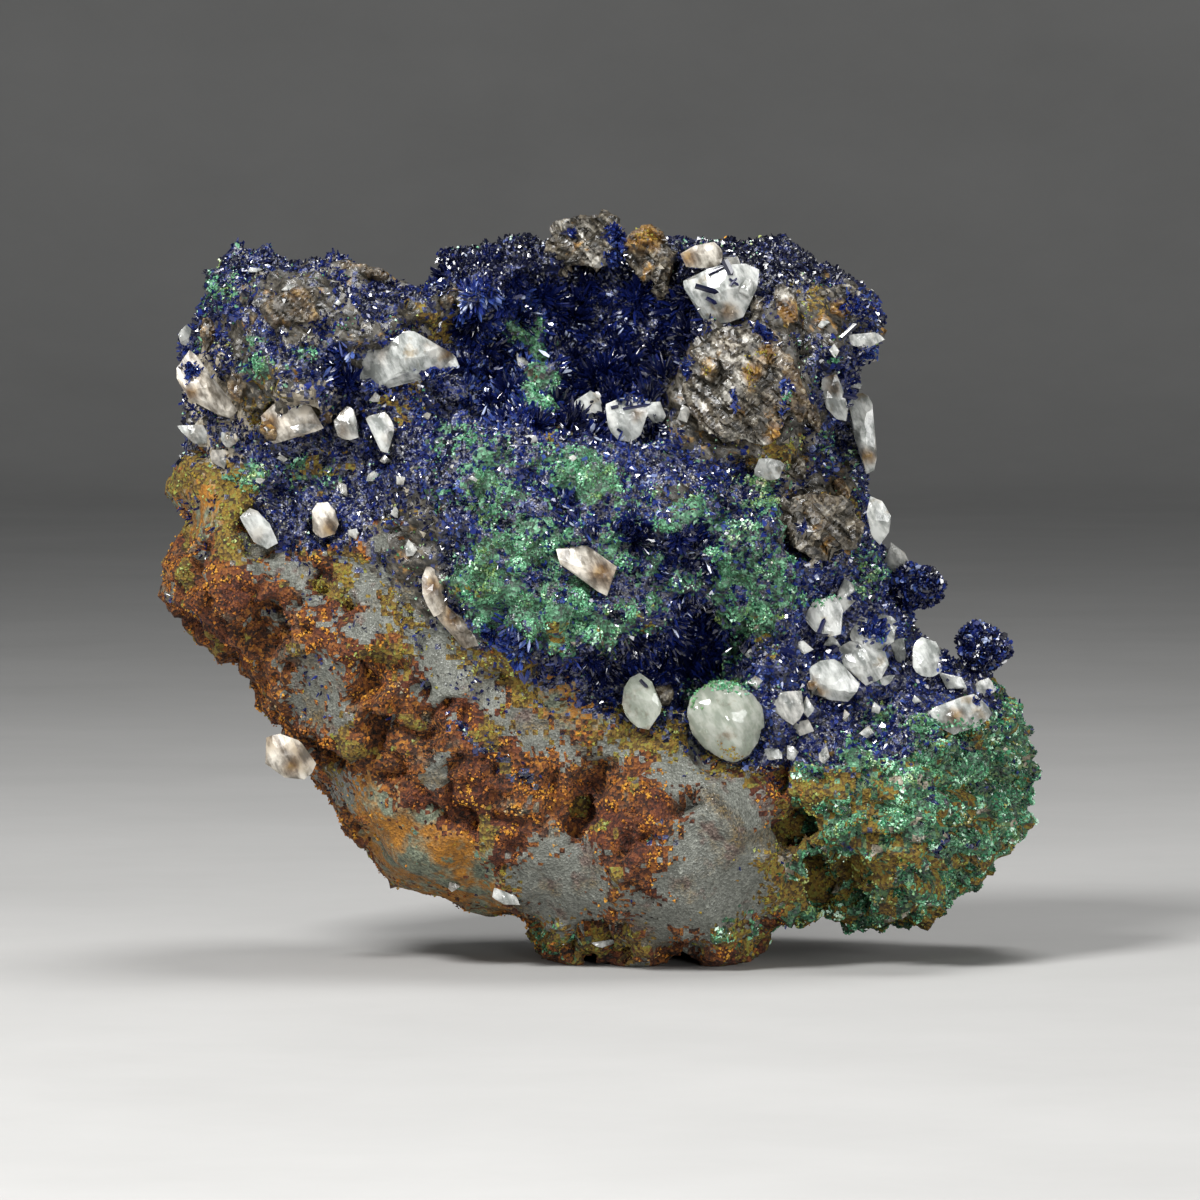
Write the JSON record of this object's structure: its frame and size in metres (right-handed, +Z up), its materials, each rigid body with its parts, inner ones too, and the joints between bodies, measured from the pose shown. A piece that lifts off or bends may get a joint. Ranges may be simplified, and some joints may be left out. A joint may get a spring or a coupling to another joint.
{
  "type": "azurite and malachite mineral specimen on rock matrix",
  "caption": "Hand-sized rock standing upright, with a hollow of blue azurite blades, a green malachite crust, white quartz pieces and rusty iron-stained matrix.",
  "frame": {"origin": "on the ground, under the middle of the whole specimen's box", "axes": "+X along the specimen's length, +Y from the crystal-covered face into the depth, +Z up"},
  "size_m": [0.088, 0.0502, 0.0745],
  "materials": {
    "iron_stained_rock": "rough grey sandstone and schist, coated with earthy orange and brown limonite",
    "azurite": "glassy deep blue blades",
    "malachite": "velvety green tufts and grains",
    "quartz": "glassy, milky to clear broken quartz",
    "schist": "grey-brown mica schist with satin glints"
  },
  "bodies": {
    "root": {"host_rock": "iron_stained_rock", "malachite_crust": "malachite", "azurite_ball_upper": "azurite", "azurite_ball_lower": "azurite", "azurite_hollow_crust": "azurite", "quartz_block_left": "quartz", "quartz_chip_low": "quartz", "quartz_chip_round": "quartz", "quartz_cluster_back": "quartz", "quartz_cluster_front": "quartz", "quartz_cluster_low": "quartz", "quartz_cluster_right": "quartz", "quartz_cluster_top": "quartz", "quartz_dome": "quartz", "quartz_foot_left": "quartz", "quartz_hollow_floor": "quartz", "quartz_on_ledge": "quartz", "quartz_plate_lower": "quartz", "quartz_plate_upper": "quartz", "quartz_rim_left": "quartz", "quartz_small_clear": "quartz", "quartz_spindle": "quartz", "quartz_tooth_left": "quartz", "quartz_tooth_right": "quartz", "quartz_top_white": "quartz", "quartz_top_yellow": "quartz", "schist_large": "schist", "schist_lower_right": "schist", "schist_top_left": "schist", "schist_top_right": "schist"}
  },
  "joints": []
}
